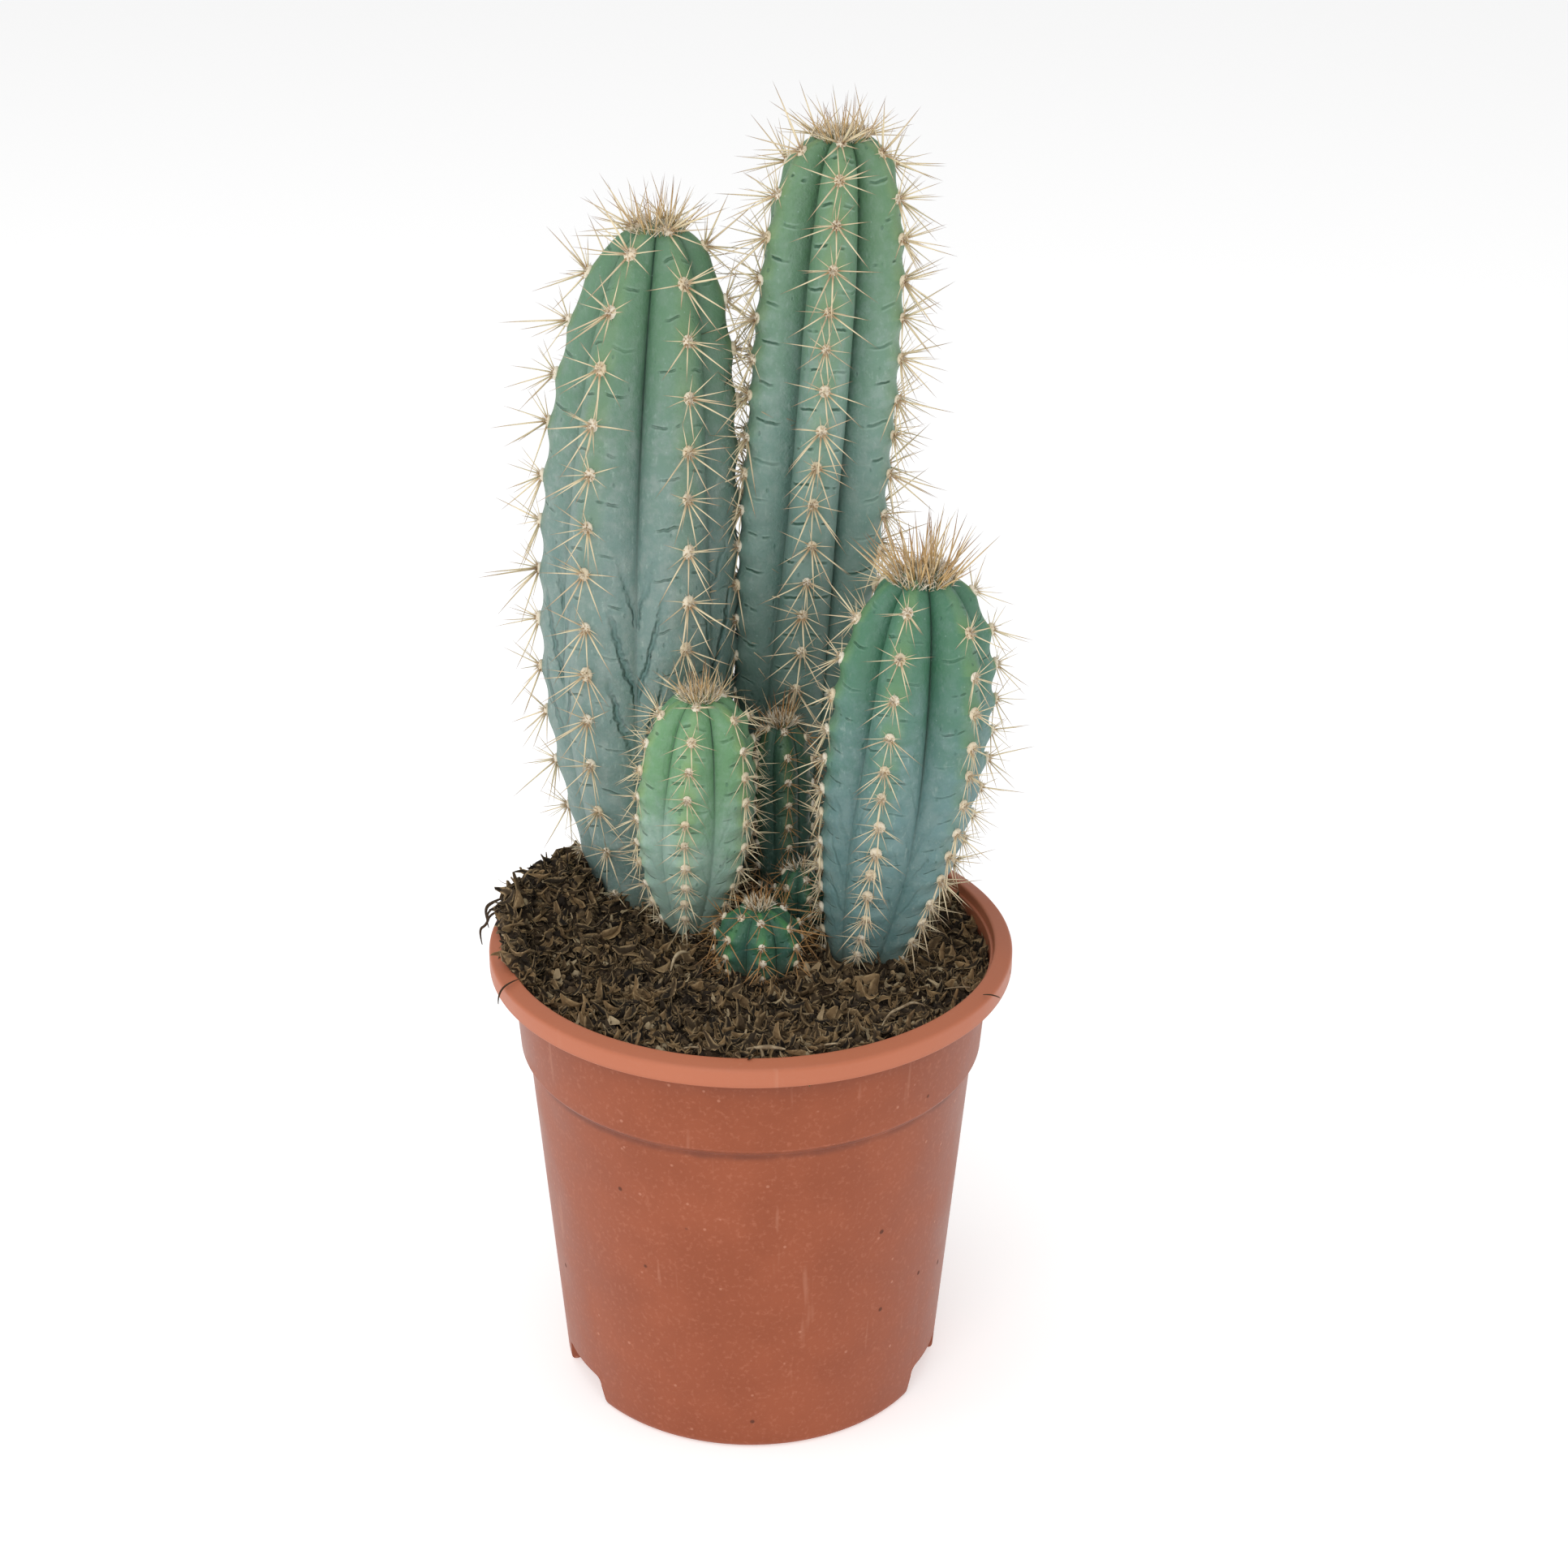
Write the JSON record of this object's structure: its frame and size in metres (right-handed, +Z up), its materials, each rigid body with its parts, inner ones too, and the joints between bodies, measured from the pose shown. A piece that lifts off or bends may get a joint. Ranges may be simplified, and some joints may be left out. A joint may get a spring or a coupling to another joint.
{
  "type": "potted columnar cactus",
  "caption": "Clump of ribbed blue-green columnar cactus stems growing in peat soil, in a round moulded nursery pot that stands on its foot.",
  "frame": {"origin": "centre of the pot's foot, on the surface it stands on", "axes": "+Z up along the pot, +X to the plant's right as seen from the front, -Y towards the front"},
  "size_m": [0.13, 0.13, 0.3094],
  "materials": {
    "pot_plastic": "terracotta-coloured moulded polypropylene, satin",
    "peat": "dark fibrous peat with bark chips and pale fibres, dull",
    "flesh": "waxy blue-green cactus skin, greener at the crown, satin",
    "wool": "cream woolly pads that the spines grow from, dull",
    "spine": "straw-coloured stiff spines with browner tips, smooth"
  },
  "bodies": {
    "root": {"pot": "pot_plastic", "soil": "peat", "stem_tall_left": "flesh", "stem_tall_back": "flesh", "stem_right": "flesh", "stem_front_left": "flesh", "offset_middle": "flesh", "offset_small": "flesh", "offset_front": "flesh"}
  },
  "joints": []
}
